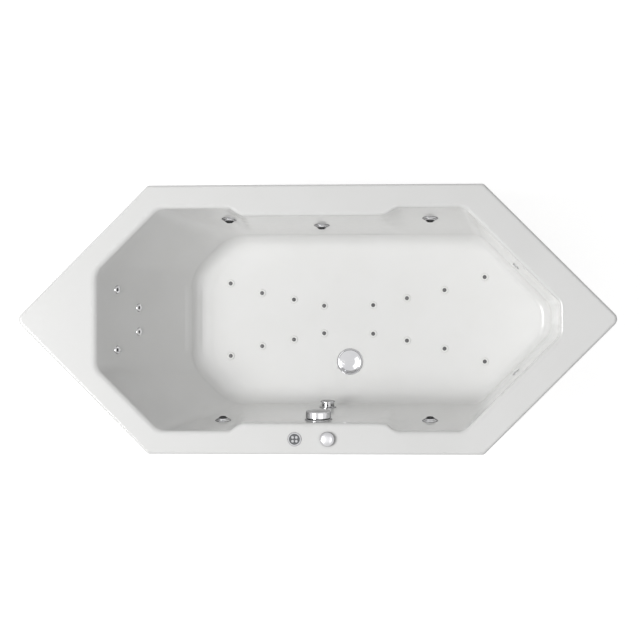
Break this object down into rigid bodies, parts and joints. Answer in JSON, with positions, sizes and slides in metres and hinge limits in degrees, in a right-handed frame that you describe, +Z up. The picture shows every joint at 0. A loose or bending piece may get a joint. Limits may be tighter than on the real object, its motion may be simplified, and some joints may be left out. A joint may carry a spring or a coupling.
{
  "type": "jetted bathtub",
  "caption": "Six-sided acrylic bath with a sloped backrest, side jets, floor air jets, a rotary overflow, a pop-up waste, deck controls and its pump and frame beneath",
  "frame": {"origin": "on the ground under the middle of the rim", "axes": "+X to the foot end, +Y to the back edge, +Z up"},
  "size_m": [1.9998, 0.9, 0.6205],
  "materials": {
    "acrylic": "glossy white sanitary acrylic",
    "chrome": "polished",
    "dark_plastic": "dark moulded",
    "white_plastic": "white moulded",
    "grey_plastic": "grey moulded",
    "clear_hose": "milky flexible hose",
    "rubber": "black rubber",
    "steel": "zinc plated",
    "board": "resin-coated board",
    "motor_paint": "dark enamel"
  },
  "bodies": {
    "root": {"air_blower": "white_plastic", "air_channels": "grey_plastic", "air_jet_bodies": "grey_plastic", "air_jet_caps": "white_plastic", "air_jet_valves": "dark_plastic", "air_line": "clear_hose", "base_board": "board", "cable_gland": "rubber", "control_box": "grey_plastic", "control_lid": "grey_plastic", "cross_rails": "steel", "equipment_tray": "board", "foot_pads": "rubber", "foot_studs": "steel", "jet_flanges": "chrome", "jet_housings": "white_plastic", "keypad_bezel": "chrome", "keypad_body": "white_plastic", "long_rails": "steel", "micro_jet_flanges": "chrome", "micro_jet_hoses": "clear_hose", "micro_jet_housings": "grey_plastic", "micro_jet_nozzles": "dark_plastic", "overflow_elbow": "white_plastic", "overflow_pipe": "grey_plastic", "overflow_rosette": "chrome", "pressure_pipe": "white_plastic", "pump_base": "grey_plastic", "pump_fan_cover": "grey_plastic", "pump_motor": "motor_paint", "pump_wet_end": "grey_plastic", "regulator_base": "chrome", "regulator_body": "grey_plastic", "rim_pads": "rubber", "rim_posts": "steel", "rubber_gaskets": "rubber", "suction_body": "white_plastic", "suction_cover": "chrome", "suction_pipe": "white_plastic", "tub_shell": "acrylic", "waste_body": "white_plastic", "waste_flange": "chrome", "waste_trap": "white_plastic"},
    "jet_ring_1": {"jet_ring_1": "chrome"},
    "jet_nozzle_1": {"jet_nozzle_1": "dark_plastic"},
    "jet_ring_2": {"jet_ring_2": "chrome"},
    "jet_nozzle_2": {"jet_nozzle_2": "dark_plastic"},
    "jet_ring_3": {"jet_ring_3": "chrome"},
    "jet_nozzle_3": {"jet_nozzle_3": "dark_plastic"},
    "jet_ring_4": {"jet_ring_4": "chrome"},
    "jet_nozzle_4": {"jet_nozzle_4": "dark_plastic"},
    "jet_ring_5": {"jet_ring_5": "chrome"},
    "jet_nozzle_5": {"jet_nozzle_5": "dark_plastic"},
    "overflow_knob": {"overflow_knob": "chrome"},
    "waste_plug": {"waste_plug": "chrome"},
    "regulator_knob": {"regulator_knob": "chrome"},
    "keypad_button_1": {"keypad_button_1": "chrome"},
    "keypad_button_2": {"keypad_button_2": "chrome"},
    "keypad_button_3": {"keypad_button_3": "chrome"},
    "keypad_button_4": {"keypad_button_4": "chrome"}
  },
  "joints": [
    {"name": "jet_1_turn", "type": "hinge", "parent": "root", "child": "jet_ring_1", "pos_m": [-0.303, 0.3415, 0.43998], "axis": [0, -0.9823, 0.1872], "range_deg": [-90, 90]},
    {"name": "jet_1_tilt", "type": "hinge", "parent": "jet_ring_1", "child": "jet_nozzle_1", "pos_m": [-0.303, 0.33954, 0.44035], "axis": [1, 0, 0], "range_deg": [-15, 15]},
    {"name": "jet_2_turn", "type": "hinge", "parent": "root", "child": "jet_ring_2", "pos_m": [0.008, 0.32025, 0.40002], "axis": [0, -0.9924, 0.1228], "range_deg": [-90, 90]},
    {"name": "jet_2_tilt", "type": "hinge", "parent": "jet_ring_2", "child": "jet_nozzle_2", "pos_m": [0.008, 0.31827, 0.40027], "axis": [1, 0, 0], "range_deg": [-15, 15]},
    {"name": "jet_3_turn", "type": "hinge", "parent": "root", "child": "jet_ring_3", "pos_m": [0.378, 0.3415, 0.43998], "axis": [0, -0.9823, 0.1872], "range_deg": [-90, 90]},
    {"name": "jet_3_tilt", "type": "hinge", "parent": "jet_ring_3", "child": "jet_nozzle_3", "pos_m": [0.378, 0.33954, 0.44035], "axis": [1, 0, 0], "range_deg": [-15, 15]},
    {"name": "jet_4_turn", "type": "hinge", "parent": "root", "child": "jet_ring_4", "pos_m": [-0.326, -0.3415, 0.43998], "axis": [0, 0.9823, 0.1872], "range_deg": [-90, 90]},
    {"name": "jet_4_tilt", "type": "hinge", "parent": "jet_ring_4", "child": "jet_nozzle_4", "pos_m": [-0.326, -0.33954, 0.44035], "axis": [-1, 0, 0], "range_deg": [-15, 15]},
    {"name": "jet_5_turn", "type": "hinge", "parent": "root", "child": "jet_ring_5", "pos_m": [0.377, -0.3415, 0.43998], "axis": [0, 0.9823, 0.1872], "range_deg": [-90, 90]},
    {"name": "jet_5_tilt", "type": "hinge", "parent": "jet_ring_5", "child": "jet_nozzle_5", "pos_m": [0.377, -0.33954, 0.44035], "axis": [-1, 0, 0], "range_deg": [-15, 15]},
    {"name": "overflow_knob_turn", "type": "hinge", "parent": "root", "child": "overflow_knob", "pos_m": [0.006, -0.3351, 0.51999], "axis": [0, 0.9924, 0.1228], "range_deg": [0, 60]},
    {"name": "waste_plug_lift", "type": "slide", "parent": "root", "child": "waste_plug", "axis": [0, 0, 1], "range_m": [0, 0.01]},
    {"name": "regulator_knob_turn", "type": "hinge", "parent": "root", "child": "regulator_knob", "pos_m": [0.041, -0.398, 0.6], "axis": [0, 0, 1], "range_deg": [-135, 135]},
    {"name": "button_1_press", "type": "slide", "parent": "root", "child": "keypad_button_1", "axis": [0, 0, -1], "range_m": [0, 0.0008], "stiffness_N_per_m": 400},
    {"name": "button_2_press", "type": "slide", "parent": "root", "child": "keypad_button_2", "axis": [0, 0, -1], "range_m": [0, 0.0008], "stiffness_N_per_m": 400},
    {"name": "button_3_press", "type": "slide", "parent": "root", "child": "keypad_button_3", "axis": [0, 0, -1], "range_m": [0, 0.0008], "stiffness_N_per_m": 400},
    {"name": "button_4_press", "type": "slide", "parent": "root", "child": "keypad_button_4", "axis": [0, 0, -1], "range_m": [0, 0.0008], "stiffness_N_per_m": 400}
  ],
  "couplings": [
    {"joint": "waste_plug_lift", "follows": "overflow_knob_turn", "m_per_rad": 0.0095}
  ]
}
